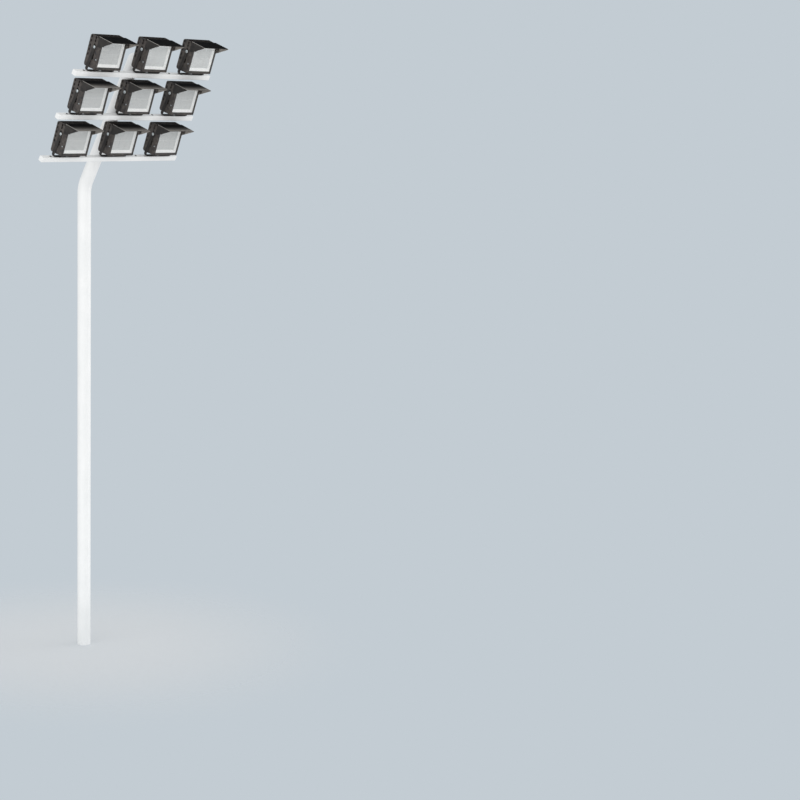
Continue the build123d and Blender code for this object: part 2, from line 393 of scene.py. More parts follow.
def white_reflector():
    """Moulded white polycarbonate: bright, satin, very even."""
    material, tree, place = new_material("white_moulded_reflector")
    flow = add_node(tree, "TexNoise", Vector=place, Scale=1 / (60 * mm), Detail=2.0, Roughness=0.55)
    white = add_node(tree, "ValToRGB", {"stops": [(0.3, "#f0f0ee"), (0.7, "#fafaf8")]}, Fac=flow)
    skin = add_node(tree, "TexNoise", Vector=place, Scale=1 / (2 * mm), Detail=1.0, Roughness=0.55)
    normal = add_node(tree, "Bump", Height=skin, Distance=0.01 * mm)
    shader = add_node(tree, "BsdfPrincipled", Base_Color=white, Normal=normal, Roughness=0.32, IOR=1.58)
    add_node(tree, "OutputMaterial", Surface=shader)
    return material


def lens_plate():
    """The lens modules' carrier: pale grey moulded acrylic over a white board, darker than the lenses."""
    material, tree, place = new_material("moulded_lens_plate")
    flow = add_node(tree, "TexNoise", Vector=place, Scale=1 / (30 * mm), Detail=3.0, Roughness=0.55)
    grey = add_node(tree, "ValToRGB", {"stops": [(0.3, "#bfc0c0"), (0.7, "#cccdcc")]}, Fac=flow)
    shader = add_node(tree, "BsdfPrincipled", Base_Color=grey, Roughness=0.4, IOR=1.49)
    add_node(tree, "OutputMaterial", Surface=shader)
    return material


def acrylic_lens():
    """Small domed acrylic lenses: glossy, milky grey with the white board showing through."""
    material, tree, place = new_material("domed_acrylic_lens")
    flow = add_node(tree, "TexNoise", Vector=place, Scale=1 / (24 * mm), Detail=3.0, Roughness=0.55)
    milky = add_node(tree, "ValToRGB", {"stops": [(0.3, "#d3d4d4"), (0.7, "#e0e1df")]}, Fac=flow)
    shader = add_node(
        tree, "BsdfPrincipled", Base_Color=milky, Roughness=0.12, IOR=1.49,
        Coat_Weight=0.5, Coat_Roughness=0.03,
    )
    add_node(tree, "OutputMaterial", Surface=shader)
    return material


def toughened_glass():
    """Clear toughened glass: a mirror that is faint face on and strong at a glance, as its angle sets."""
    material, tree, place = new_material("toughened_front_glass")
    glance = add_node(tree, "LayerWeight", Blend=0.5).outputs["Facing"]
    mirror = add_node(tree, "Math", {"operation": "POWER"}, input_0=glance, input_1=5.0)
    film = add_node(tree, "TexNoise", Vector=place, Scale=1 / (120 * mm), Detail=3.0, Roughness=0.55)
    dust = add_node(tree, "MapRange", Value=film, From_Min=0.3, From_Max=0.7, To_Min=0.03, To_Max=0.06)
    veil = add_node(tree, "Math", {"operation": "ADD"}, input_0=mirror, input_1=dust)
    shader = add_node(
        tree, "BsdfPrincipled", Base_Color=colour("#eef3f3"), Metallic=1.0, Roughness=0.04, Alpha=veil,
    )
    add_node(tree, "OutputMaterial", Surface=shader)
    return material


def stainless_steel():
    """Turned stainless bolts: bright, with a few duller patches."""
    material, tree, place = new_material("turned_stainless_steel")
    patches = add_node(tree, "TexNoise", Vector=place, Scale=1 / (8 * mm), Detail=3.0, Roughness=0.55)
    bright = add_node(tree, "ValToRGB", {"stops": [(0.3, "#b9bab8"), (0.7, "#dedfdd")]}, Fac=patches)
    polish = add_node(tree, "MapRange", Value=patches, From_Min=0.3, From_Max=0.7, To_Min=0.14, To_Max=0.3)
    shader = add_node(tree, "BsdfPrincipled", Base_Color=bright, Roughness=polish, Metallic=1.0)
    add_node(tree, "OutputMaterial", Surface=shader)
    return material


def black_oxide_steel():
    """Black oxide screws: dark metal with a soft sheen."""
    material, tree, place = new_material("black_oxide_screw_steel")
    patches = add_node(tree, "TexNoise", Vector=place, Scale=1 / (5 * mm), Detail=3.0, Roughness=0.55)
    oxide = add_node(tree, "ValToRGB", {"stops": [(0.3, "#2c2c2e"), (0.7, "#4a4a4c")]}, Fac=patches)
    shader = add_node(tree, "BsdfPrincipled", Base_Color=oxide, Metallic=1.0, Roughness=0.4)
    add_node(tree, "OutputMaterial", Surface=shader)
    return material


def black_nylon():
    """Moulded nylon and rubber for glands, grommets and the glass seal: soft black, slightly greasy."""
    material, tree, place = new_material("moulded_black_nylon")
    patches = add_node(tree, "TexNoise", Vector=place, Scale=1 / (12 * mm), Detail=3.0, Roughness=0.55)
    black = add_node(tree, "ValToRGB", {"stops": [(0.3, "#19191a"), (0.7, "#262627")]}, Fac=patches)
    sheen = add_node(tree, "MapRange", Value=patches, From_Min=0.3, From_Max=0.7, To_Min=0.34, To_Max=0.5)
    shader = add_node(tree, "BsdfPrincipled", Base_Color=black, Roughness=sheen, IOR=1.53)
    add_node(tree, "OutputMaterial", Surface=shader)
    return material


paint = white_gloss_paint()
powder_coat = black_powder_coat()
crease_highlight_coat = painted_crease_highlight_coat()
shaded_top_coat = sooty_powder_coat()
inner_face_grey = hood_inner_grey_sheet()
cast_black = black_cast_aluminium()
fin_black = black_anodised_fins()
reflector_white = white_reflector()
lens_carrier = lens_plate()
lens_acrylic = acrylic_lens()
glass = toughened_glass()
stainless = stainless_steel()
screw_steel = black_oxide_steel()
nylon = black_nylon()


# Shapes

def cuboid(low, high, rounding=0.0, segments=2):
    """A block between two corners, with rounded edges."""
    low = Vector(low)
    high = Vector(high)
    bm = bmesh.new()
    place = Matrix.Translation((low + high) / 2) @ Matrix.Diagonal((*(high - low), 1.0))
    bmesh.ops.create_cube(bm, size=1.0, matrix=place)
    if rounding:
        round_edges(bm, bm.edges[:], rounding, segments)
    return bm


def round_edges(bm, edges, radius, segments=2):
    """Round these edges of a shape."""
    bmesh.ops.bevel(
        bm, geom=edges, offset=radius, offset_type="OFFSET", segments=segments,
        profile=0.5, affect="EDGES", clamp_overlap=True, material=-1,
    )


def round_corners(bm, verts, radius, segments=4):
    """Round these corners of a flat sheet."""
    bmesh.ops.bevel(
        bm, geom=verts, offset=radius, offset_type="OFFSET", segments=segments,
        profile=0.5, affect="VERTICES", clamp_overlap=True, material=-1,
    )


def soften(bm, radius, segments=2, least=40.0):
    """Round every sharp edge of a shape a little."""
    sharp = [e for e in bm.edges if e.is_manifold and e.calc_face_angle(0.0) > radians(least)]
    round_edges(bm, sharp, radius, segments)


def turned(profile, sides):
    """A round shape: points of (radius, height) spun round the Z axis."""
    bm = bmesh.new()
    verts = [bm.verts.new((radius, 0, height)) for radius, height in profile]
    edges = [bm.edges.new(pair) for pair in zip(verts, verts[1:])]
    bmesh.ops.spin(
        bm, geom=verts + edges, cent=(0, 0, 0), axis=(0, 0, 1), angle=2 * pi, steps=sides,
        use_merge=True, use_duplicate=False,
    )
    bmesh.ops.remove_doubles(bm, verts=bm.verts, dist=0.001)
    bmesh.ops.recalc_face_normals(bm, faces=bm.faces)
    return bm


def arc(centre, radius, first, last, steps):
    """Points on an arc, its angles in degrees."""
    angles = [radians(first + (last - first) * i / steps) for i in range(steps + 1)]
    return [(centre[0] + radius * cos(a), centre[1] + radius * sin(a)) for a in angles]


def rounded(outline, radius, steps=3):
    """A closed outline with each of its corners rounded."""
    points = []
    for i, corner in enumerate(outline):
        corner = Vector(corner)
        before = (Vector(outline[i - 1]) - corner).normalized() * radius
        after = (Vector(outline[(i + 1) % len(outline)]) - corner).normalized() * radius
        for step in range(steps + 1):
            t = step / steps
            points.append(corner + before * (1 - t) ** 2 + after * t ** 2)
    return points


def rectangle(centre, width, height):
    """The corners of a rectangle."""
    x, y = centre
    return [(x + sx * width / 2, y + sy * height / 2) for sx, sy in ((-1, -1), (1, -1), (1, 1), (-1, 1))]


def flat_plate(outlines, thickness, edge=0.0):
    """A plate on XY, centred in its thickness: the first outline is its rim and the others are holes."""
    curve = bpy.data.curves.new("outline", "CURVE")
    curve.dimensions = "2D"
    curve.fill_mode = "BOTH"
    curve.extrude = thickness / 2 - edge
    curve.bevel_depth = edge
    curve.bevel_resolution = 0
    curve.offset = -edge
    for outline in outlines:
        spline = curve.splines.new("POLY")
        spline.points.add(len(outline) - 1)
        for point, (x, y) in zip(spline.points, outline):
            point.co = (x, y, 0.0, 1.0)
        spline.use_cyclic_u = True
    holder = bpy.data.objects.new("outline", curve)
    mesh = bpy.data.meshes.new_from_object(holder)
    bm = bmesh.new()
    bm.from_mesh(mesh)
    bpy.data.objects.remove(holder)
    bpy.data.curves.remove(curve)
    bpy.data.meshes.remove(mesh)
    bmesh.ops.remove_doubles(bm, verts=bm.verts, dist=0.001)
    bmesh.ops.recalc_face_normals(bm, faces=bm.faces)
    return bm


def bead(points, radius):
    """A closed weld bead that follows these points."""
    curve = bpy.data.curves.new("bead", "CURVE")
    curve.dimensions = "3D"
    curve.bevel_depth = radius
    curve.bevel_resolution = 2
    spline = curve.splines.new("POLY")
    spline.points.add(len(points) - 1)
    for point, place in zip(spline.points, points):
        point.co = (*place, 1.0)
    spline.use_cyclic_u = True
    holder = bpy.data.objects.new("bead", curve)
    mesh = bpy.data.meshes.new_from_object(holder)
    bm = bmesh.new()
    bm.from_mesh(mesh)
    bpy.data.objects.remove(holder)
    bpy.data.curves.remove(curve)
    bpy.data.meshes.remove(mesh)
    bmesh.ops.recalc_face_normals(bm, faces=bm.faces)
    return bm


def add_shape(piece, shape, place=Matrix(), material=0, keep=False):
    """Join a shape to a piece at its place, with one of the piece's materials."""
    for face in shape.faces:
        face.material_index = material
    mesh = bpy.data.meshes.new("shape")
    shape.to_mesh(mesh)
    mesh.transform(place)
    piece.from_mesh(mesh)
    bpy.data.meshes.remove(mesh)
    if not keep:
        shape.free()


def template(shape, materials, crease=35.0):
    """A finished mesh in millimetres, smooth but for its sharp edges, with its materials."""
    mesh = bpy.data.meshes.new("template")
    shape.to_mesh(mesh)
    shape.free()
    for material in materials:
        mesh.materials.append(material)
    mesh.shade_smooth()
    mesh.set_sharp_from_angle(angle=radians(crease))
    return mesh


def place_piece(name, mesh, place, body, slot, *nodes):
    """Put a copy of a template in its place as a piece that rides on a body and stands for CAD nodes."""
    placed = mesh.copy()
    placed.name = name
    placed.transform(place @ to_metres)
    piece = bpy.data.objects.new(name, placed)
    bpy.context.scene.collection.objects.link(piece)
    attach(piece, body)
    if nodes:
        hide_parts(*nodes)
    return piece


# Turns a shape that is drawn facing up so that it faces forward
facing = Matrix.Rotation(pi / 2, 4, "X")


def side_place(side, forward, up, out):
    """A place on a lamp's left (-1) or right (1) side, its Z axis pointing outwards."""
    return Matrix.Translation((side * out, -forward, up)) @ Matrix.Rotation(side * pi / 2, 4, "Y")


# Mast

def mast_tube():
    """Shaft, bent knee and domed head arm, as one smooth tube."""
    bm = turned([(0, 0), (mast_radius, 0), (mast_radius, shaft_height)], tube_sides)
    top = [e for e in bm.edges if all(v.co.z > shaft_height - 1 for v in e.verts)]
    bmesh.ops.spin(
        bm, geom=top, cent=(0, -knee_bend_radius, shaft_height), axis=(1, 0, 0), angle=head_lean,
        steps=knee_steps, use_merge=False, use_duplicate=False,
    )
    dome = arc((mast_radius - head_dome_radius, head_length - head_dome_radius), head_dome_radius, 0, 90, 10)
    arm = turned([(mast_radius, knee_tangent), *dome, (0, head_length)], tube_sides)
    add_shape(bm, arm, Matrix.Translation((0, 0, knee_height)) @ Matrix.Rotation(head_lean, 4, "X"))
    bmesh.ops.remove_doubles(bm, verts=bm.verts, dist=0.05)
    bmesh.ops.recalc_face_normals(bm, faces=bm.faces)
    return bm


def bar_tube():
    """A square crossbar along X, with rounded corners and welded end caps."""
    half = bar_width / 2
    left = -lamp_pitch - bar_left_overhang
    right = lamp_pitch + bar_right_overhang
    bm = cuboid((left, -half, -half), (right, half, half))
    long_edges = [e for e in bm.edges if abs(e.verts[0].co.x - e.verts[1].co.x) > 1]
    round_edges(bm, long_edges, bar_corner, bar_corner_segments)
    ends = [f for f in bm.faces if abs(f.normal.x) > 0.9]
    round_edges(bm, [e for f in ends for e in f.edges], bar_end_edge)
    for x in grommet_places:
        add_shape(bm, grommet(), Matrix.Translation((x, 0, half)), 1)
    return bm


def bar_stub():
    """The square tube between head and crossbar, with its weld beads. Forward is -Y."""
    bm = bmesh.new()
    half = stub_width / 2
    at_bar = -bar_offset + bar_width / 2
    tube = cuboid((-half, at_bar - weld_radius, -half), (half, -mast_radius * stub_reach_in, half))
    long_edges = [e for e in tube.edges if abs(e.verts[0].co.y - e.verts[1].co.y) > 1]
    round_edges(tube, long_edges, stub_corner, stub_corner_steps)
    add_shape(bm, tube)
    ring = []
    corners = rounded(rectangle((0, 0), stub_width, stub_width), stub_corner, stub_corner_steps)
    for i, point in enumerate(corners):
        on_flat = i % (stub_corner_steps + 1) == stub_corner_steps
        for step in range(weld_steps if on_flat else 1):
            ring.append(point.lerp(corners[(i + 1) % len(corners)], step / weld_steps))
    add_shape(bm, bead([(x, -sqrt(mast_radius ** 2 - x * x), z) for x, z in ring], weld_radius))
    add_shape(bm, bead([(x, at_bar, z) for x, z in ring], weld_radius))
    return bm


def grommet():
    """A rubber bush where a cable can enter the crossbar."""
    r = grommet_radius
    foot = [(0, -grommet_depth), (r - 2, -grommet_depth), (r, 0), (r - 0.5, 3)]
    return turned([*foot, (r - 5, grommet_height), (r - 9, 2.2), (0, 2.0)], 24)


# Bracket

def u_bracket():
    """A flat bar bent up at both ends, with its leg ends rounded. Its base lies on z = 0."""
    outer_bend = bracket_bend + bracket_thickness
    side = bracket_outer_side
    leg_top = pivot_height + bracket_width / 2
    right = arc((side - outer_bend, outer_bend), outer_bend, -90, 0, 6) + [(side, leg_top)]
    path = [(-x, z) for x, z in reversed(right)] + right
    bm = bmesh.new()
    verts = [bm.verts.new((x, -bracket_width / 2, z)) for x, z in path]
    edges = [bm.edges.new(pair) for pair in zip(verts, verts[1:])]
    swept = bmesh.ops.extrude_edge_only(bm, edges=edges)["geom"]
    far_side = [g for g in swept if isinstance(g, bmesh.types.BMVert)]
    bmesh.ops.translate(bm, vec=(0, bracket_width, 0), verts=far_side)
    ends = [v for v in bm.verts if v.co.z > leg_top - 1]
    round_corners(bm, ends, bracket_leg_rounding, 7)
    bmesh.ops.recalc_face_normals(bm, faces=bm.faces)
    thicken_inwards(bm, bracket_thickness, Vector((0, 0, pivot_height)))
    soften(bm, bracket_edge)
    add_shape(bm, base_bolt(), Matrix.Translation((0, 0, bracket_thickness)), 1)
    return bm


def thicken_inwards(bm, thickness, inside):
    """Give a sheet its thickness on the side that faces a point."""
    largest = max(bm.faces, key=lambda face: face.calc_area())
    faces_inside = largest.normal.dot(inside - largest.calc_center_median()) > 0
    if faces_inside:
        bmesh.ops.reverse_faces(bm, faces=bm.faces)
    bmesh.ops.solidify(bm, geom=bm.faces[:] + bm.edges[:] + bm.verts[:], thickness=thickness)


def base_bolt():
    """The upper end of the bolt through the bracket's base: washer, hexagon nut and thread end."""
    low = base_washer_thickness
    bm = turned([(0, 0), (base_washer_radius, 0), (base_washer_radius, low), (0, low)], 24)
    r = base_nut_radius
    top = low + base_nut_height
    add_shape(bm, turned([(0, low), (r, low), (r, top - bolt_chamfer), (r * 0.85, top), (0, top)], 6))
    r = base_thread_radius
    end = top + base_thread_end
    thread = [(0, top), (r, top), (r, end - bolt_chamfer), (base_thread_tip, end), (0, end)]
    add_shape(bm, turned(thread, 16))
    return bm


# Lamp body

def lamp_tray():
    """The front tray with its rounded bezel and the recess for the LED panel."""
    bm = cuboid((-housing_side, -bezel_front, housing_bottom), (housing_side, -tray_back, housing_top))
    long_edges = [e for e in bm.edges if abs(e.verts[0].co.y - e.verts[1].co.y) > 1]
    round_edges(bm, long_edges, tray_corner, 4)
    front = min(bm.faces, key=lambda face: face.calc_center_median().y)
    round_edges(bm, front.edges[:], bezel_rounding, 3)
    front = min(bm.faces, key=lambda face: face.calc_center_median().y)
    bmesh.ops.inset_region(bm, faces=[front], thickness=bezel_margin - bezel_rounding, use_even_offset=True)
    swept = bmesh.ops.extrude_face_region(bm, geom=[front])["geom"]
    floor = [g for g in swept if isinstance(g, bmesh.types.BMVert)]
    bmesh.ops.translate(bm, vec=(0, recess_depth, 0), verts=floor)
    bmesh.ops.delete(bm, geom=[front], context="FACES_ONLY")
    bmesh.ops.recalc_face_normals(bm, faces=bm.faces)
    return bm


# Outlines across the lamp, as (backward, up)
sink_outline = [
    (-tray_back - overlap, housing_bottom + fin_foot_gap),
    (-tray_back + sink_foot_depth, housing_bottom + fin_foot_gap),
    (-sink_back, housing_bottom + sink_chamfer_rise),
    (-sink_back, sink_top - sink_top_chamfer),
    (-sink_back - sink_top_chamfer, sink_top),
    (-tray_back - overlap, sink_top),
]
end_plate_outline = [
    (-tray_back - overlap, housing_bottom),
    (-sink_back - end_plate_chamfer, housing_bottom),
    (-sink_back, housing_bottom + end_plate_chamfer),
    *sink_outline[3:],
]


def upright(x):
    """The place of a plate that is drawn as (backward, up), standing across the lamp."""
    return Matrix(((0, 0, 1, x), (1, 0, 0, 0), (0, 1, 0, 0), (0, 0, 0, 1)))


def fin_pack():
    """The fins between the end plates."""
    bm = bmesh.new()
    inner_side = housing_side - end_plate_thickness
    step = 2 * inner_side / (fin_count + 1)
    fin = flat_plate([rounded(sink_outline, fin_corner, 2)], fin_thickness)
    for i in range(fin_count):
        add_shape(bm, fin, upright(-inner_side + (i + 1) * step), keep=True)
    fin.free()
    return bm


def end_plates():
    """Slotted end plates on both sides of the fins."""
    bm = bmesh.new()
    slots = [rounded(rectangle((-forward, up), slot_width, slot_height), slot_corner)
             for forward, up in rear_slots + lower_slots + upper_slots]
    rim = rounded(end_plate_outline, end_plate_corner)
    plate = flat_plate([rim, *slots], end_plate_thickness, end_plate_edge)
    for side in (-1, 1):
        add_shape(bm, plate, upright(side * (housing_side - end_plate_thickness / 2)), keep=True)
    plate.free()
    return bm


block_outline = [
    (-tray_back, housing_bottom + wiring_block_gap),
    (-tray_back + sink_foot_depth, housing_bottom + wiring_block_gap),
    (-sink_back - overlap, housing_bottom + sink_chamfer_rise),
    (-sink_back - overlap, housing_bottom + wiring_block_rise),
    (-tray_back, housing_bottom + wiring_block_rise),
]
chamfer_slope = atan2(sink_chamfer_rise, sink_depth - sink_foot_depth)
gland_place = Matrix.Translation((
    -housing_side + wiring_block_width / 2,
    -sink_back - (sink_depth - sink_foot_depth) / 2,
    housing_bottom + sink_chamfer_rise / 2,
)) @ Matrix.Rotation(-pi + chamfer_slope, 4, "X")


def cable_gland():
    """A nylon cable gland: a hexagon, a domed nut and a blanked mouth."""
    r = gland_radius
    low = gland_hexagon_height
    bm = turned([(0, -3), (r, -3), (r, low - 2), (r - 2, low), (0, low)], 6)
    r = gland_radius - 3
    mouth = gland_length - gland_mouth_depth
    nut = [(0, low), (r - 2, low), (r, low + 2), (r, gland_nut_height), (r - 2, gland_nut_height + 6)]
    blank = [(r - 6, gland_length), (r - 9, gland_length), (r - 10, mouth), (0, mouth)]
    add_shape(bm, turned(nut + blank, 18))
    half = gland_rib_width / 2
    for i in range(gland_rib_count):
        rib = cuboid((r - 1, -half, low + 2), (r + 1.2, half, gland_nut_height + 1), 0.6, 1)
        add_shape(bm, rib, Matrix.Rotation(2 * pi * i / gland_rib_count, 4, "Z"))
    return bm


def lamp_body():
    """Tray, heat sink, wiring block, pivot bosses, lugs, gland and glass seal of one lamp."""
    bm = lamp_tray()
    add_shape(bm, end_plates())
    add_shape(bm, fin_pack(), material=2)
    block = flat_plate([rounded(block_outline, wiring_block_corner)], wiring_block_width - 2, 1.0)
    add_shape(bm, block, upright(-housing_side + wiring_block_width / 2))
    face = side_clearance - seat_gap
    boss = [(0, -3), (boss_radius, -3), (boss_radius, face - 1), (boss_radius - 1, face), (0, face)]
    for side in (-1, 1):
        add_shape(bm, turned(boss, 40), side_place(side, 0, 0, housing_side))
        lug = cuboid((-lug_width / 2, -lug_reach, lug_low), (lug_width / 2, 4, lug_high), lug_corner)
        lug_side = side * (housing_side - 2 - lug_width / 2)
        add_shape(bm, lug, Matrix.Translation((lug_side, -bezel_front, 0)))
    add_shape(bm, cable_gland(), gland_place, 1)
    rim = rectangle((0, 0), glass_width - 0.5, glass_height - 0.5)
    opening = rounded(rectangle((0, 0), mouth_width + 2 * seal_lap, mouth_height + 2 * seal_lap), 4.0)
    seal = flat_plate([rim, opening], seal_thickness)
    add_shape(bm, seal, Matrix.Translation((0, -bezel_front + 0.6, housing_middle)) @ facing, 1)
    return bm


def bezel_screws():
    """Small cap screws round the bezel, on the end plates and at the visor's cheeks."""
    bm = bmesh.new()
    r = screw_radius
    socket = screw_height - screw_recess
    head = [(0, 0), (r, 0), (r, screw_height - 0.8), (r - 0.8, screw_height)]
    screw = turned([*head, (r - 3.1, screw_height), (r - 3.5, socket), (0, socket)], 16)
    inset = bezel_margin / 2
    side_row = housing_side - inset
    end_rows = (housing_bottom + inset, housing_top - inset)
    places = [(side_row * (i / 2 - 1), z) for i in range(5) for z in end_rows]
    for side in (-1, 1):
        places += [(side * side_row, z) for z in bezel_side_screws]
        for forward, up in hood_screws:
            add_shape(bm, screw, side_place(side, forward, up, visor_side), keep=True)
        for forward, up in end_plate_screws:
            add_shape(bm, screw, side_place(side, forward, up, housing_side), keep=True)
    for x, z in places:
        add_shape(bm, screw, Matrix.Translation((x, -bezel_front, z)) @ facing, keep=True)
    screw.free()
    return bm


def pivot_bolts():
    """The domed pivot bolts with their washers, and a small bolt low on each side of the tray."""
    bm = bmesh.new()
    dome_arc = arc((0, 0), 1.0, 12, 90, 7)
    low = washer_thickness + 0.5
    dome = [(bolt_dome_radius * x, low + bolt_dome_height * (y - dome_arc[0][1])) for x, y in dome_arc]
    washer = [(0, 0), (washer_radius, 0), (washer_radius, washer_thickness), (bolt_dome_radius, low)]
    head = [*washer, *dome, (0, dome[-1][1])]
    length = side_clearance + bracket_thickness + overlap
    shank = [(0, 0), (bolt_shank_radius, 0), (bolt_shank_radius, length), (0, length)]
    r = side_bolt_radius
    small = [(0, 0), (r, 0), (r, 1.4), (r - 1.5, 3.8), (r / 2, 4.9), (0, 5.2)]
    for side in (-1, 1):
        add_shape(bm, turned(head, 40), side_place(side, 0, 0, bracket_outer_side + seat_gap))
        add_shape(bm, turned(shank, 16), side_place(side, 0, 0, housing_side))
        add_shape(bm, turned(small, 20), side_place(side, *side_bolt_place, housing_side))
    return bm


# LED panel and glass

def led_unit():
    """The white reflector tray, and in it the lens modules on their board."""
    bm = cuboid(
        (-glass_width / 2 + seat_gap, -panel_front, glass_bottom + seat_gap),
        (glass_width / 2 - seat_gap, -panel_back, glass_bottom + glass_height - seat_gap),
    )
    front = min(bm.faces, key=lambda face: face.calc_center_median().y)
    bmesh.ops.inset_region(bm, faces=[front], thickness=panel_rim - seat_gap, use_even_offset=True)
    bmesh.ops.inset_region(bm, faces=[front], thickness=reflector_end_run, use_even_offset=True)
    widen = 1 + 2 * (reflector_end_run - reflector_side_run) / (mouth_width - 2 * reflector_end_run)
    bmesh.ops.scale(bm, vec=(widen, 1, 1), verts=front.verts[:])
    bmesh.ops.translate(bm, vec=(0, reflector_depth, 0), verts=front.verts[:])
    top_verts = [v for v in front.verts if v.co.z > housing_middle]
    bmesh.ops.translate(bm, vec=(0, 0, reflector_end_run - reflector_top_run), verts=top_verts)
    soften(bm, reflector_rounding, least=20.0)
    floor = -panel_front + reflector_depth
    field_width = mouth_width - 2 * reflector_side_run
    field_height = mouth_height - reflector_end_run - reflector_top_run
    field_bottom = glass_bottom + panel_rim + reflector_end_run
    width = (field_width - (module_columns + 1) * module_gap) / module_columns
    height = (field_height - (module_rows + 1) * module_gap) / module_rows
    r = lens_radius
    lens = turned([(r, 0), (r * 0.9, lens_height * 0.55), (r * 0.5, lens_height * 0.92), (0, lens_height)], 8)
    plate_front = floor - module_height
    for i in range(module_columns):
        for j in range(module_rows):
            left = -field_width / 2 + module_gap + i * (width + module_gap)
            low = field_bottom + module_gap + j * (height + module_gap)
            high = (left + width, floor + overlap, low + height)
            plate = cuboid((left, plate_front, low), high, module_edge, 1)
            add_shape(bm, plate, material=1)
            for column in range(lenses_across):
                for row in range(lenses_up):
                    x = left + width * (column + 0.5) / lenses_across
                    z = low + height * (row + 0.5) / lenses_up
                    add_shape(bm, lens, Matrix.Translation((x, plate_front, z)) @ facing, 2, keep=True)
    lens.free()
    return bm


def front_glass():
    """The pane in front of the reflector."""
    front = bezel_front - glass_inset
    side = glass_width / 2 - glass_inset
    top = glass_bottom + glass_height - glass_inset
    low_corner = (-side, -front, glass_bottom + glass_inset)
    return cuboid(low_corner, (side, -front + glass_thickness, top), glass_edge, 1)


# Visor

def visor_hood():
    """The visor: a sheet bent down at both sides, its cheeks cut back to the bezel, with a hemmed front."""
    cheek_low = visor_top - cheek_drop
    right = arc((visor_side - crease_radius, visor_top - crease_radius), crease_radius, 90, 0, 5)
    right.append((visor_side, cheek_low))
    path = [(-x, z) for x, z in reversed(right)] + right
    front = -bezel_front - visor_reach
    back = -bezel_front + visor_back_reach
    bm = bmesh.new()
    verts = [bm.verts.new((x, front, z)) for x, z in path]
    edges = [bm.edges.new(pair) for pair in zip(verts, verts[1:])]
    swept = bmesh.ops.extrude_edge_only(bm, edges=edges)["geom"]
    far_side = [g for g in swept if isinstance(g, bmesh.types.BMVert)]
    bmesh.ops.translate(bm, vec=(0, back - front, 0), verts=far_side)
    # The slanted cut from the lip down to the bezel takes the front of both cheeks
    lip = Vector((0, front, visor_top - visor_lip))
    slant = Vector((0, -bezel_front, cheek_low)) - lip
    cut(bm, bm.faces[:], lip, slant.cross(Vector((1, 0, 0))))
    bmesh.ops.remove_doubles(bm, verts=bm.verts, dist=0.01)
    bmesh.ops.recalc_face_normals(bm, faces=bm.faces)
    thicken_inwards(bm, visor_sheet, Vector((0, 0, 0)))
    soften(bm, visor_edge, 1)
    for face in bm.faces:
        middle = face.calc_center_median()
        inwards = Vector((-middle.x, 0, -middle.z)).normalized()
        on_fold = min(abs(face.normal.x), abs(face.normal.z)) > 0.2 and face.normal.y < 0.3
        # Inward faces take the paler grey
        if face.normal.dot(inwards) > 0.2 and abs(face.normal.y) < 0.5:
            face.material_index = 1
        # Faces on the top creases take the painted highlight
        elif on_fold and middle.z > visor_top - 2 * crease_radius:
            face.material_index = 2
        # Upward faces take the coat with the painted shade of the tops
        elif face.normal.z > 0.9:
            face.material_index = 3
    # Cross cuts, so that the painted reflection fades evenly over the sheet
    for i in range(1, reflection_steps):
        across = (0, front + (back - front) * i / reflection_steps, 0)
        along = (visor_side * (2 * i / reflection_steps - 1), 0, 0)
        for point, normal in ((across, (0, 1, 0)), (along, (1, 0, 0))):
            geom = bm.faces[:] + bm.edges[:] + bm.verts[:]
            bmesh.ops.bisect_plane(bm, geom=geom, plane_co=point, plane_no=normal, dist=0.001)
    half = visor_side - visor_sheet - 4
    hem_low = (-half, front + 0.6, visor_top - 2.2 * visor_sheet)
    hem_high = (half, front + hem_width, visor_top - visor_sheet / 2)
    add_shape(bm, cuboid(hem_low, hem_high, hem_rounding))
    return bm


def paint_bar_reflection(mesh, amount):
    """Store how much painted reflection of the crossbar above each point of a hood takes: most at the lip,
    and none up to reflection_start.
    """
    dust = mesh.attributes.new("dust", "FLOAT", "POINT")
    for vertex, item in zip(mesh.vertices, dust.data):
        forward = (-vertex.co.y - bezel_front + visor_back_reach) / (visor_reach + visor_back_reach)
        item.value = amount * max(0.0, (forward - reflection_start) / (1 - reflection_start)) ** 2


def cut(bm, faces, point, normal):
    """Cut these faces by a plane and drop what lies on its outer side."""
    geom = list({g for f in faces for g in [f, *f.edges, *f.verts]})
    normal = normal.normalized()
    pieces = bmesh.ops.bisect_plane(bm, geom=geom, plane_co=point, plane_no=normal, dist=0.001)["geom"]
    cut_faces = [g for g in pieces if isinstance(g, bmesh.types.BMFace)]
    outside = [f for f in cut_faces if (f.calc_center_median() - point).dot(normal) > 0]
    bmesh.ops.delete(bm, geom=outside, context="FACES")


# The mast's pieces
place_piece("mast_tube", template(mast_tube(), [paint]), Matrix(), "mast", "mast_paint",
            "mast_shaft", "mast_knee", "head_arm")
bar_mesh = template(bar_tube(), [paint, nylon])
stub_mesh = template(bar_stub(), [paint])
bracket_mesh = template(u_bracket(), [powder_coat, stainless])
for i, row in enumerate(row_names):
    distance = first_bar_distance + i * bar_pitch
    arm_place = to_metres @ head_place @ Matrix.Translation((0, 0, distance)) @ to_metres.inverted()
    bar_place = arm_place @ Matrix.Translation((0, -bar_offset / 1000, 0))
    place_piece(f"bar_tube_{row}", bar_mesh, bar_place, "mast", "mast_paint", f"crossbar_{row}")
    place_piece(f"bar_stub_{row}", stub_mesh, arm_place, "mast", "mast_paint", f"crossbar_stub_{row}")

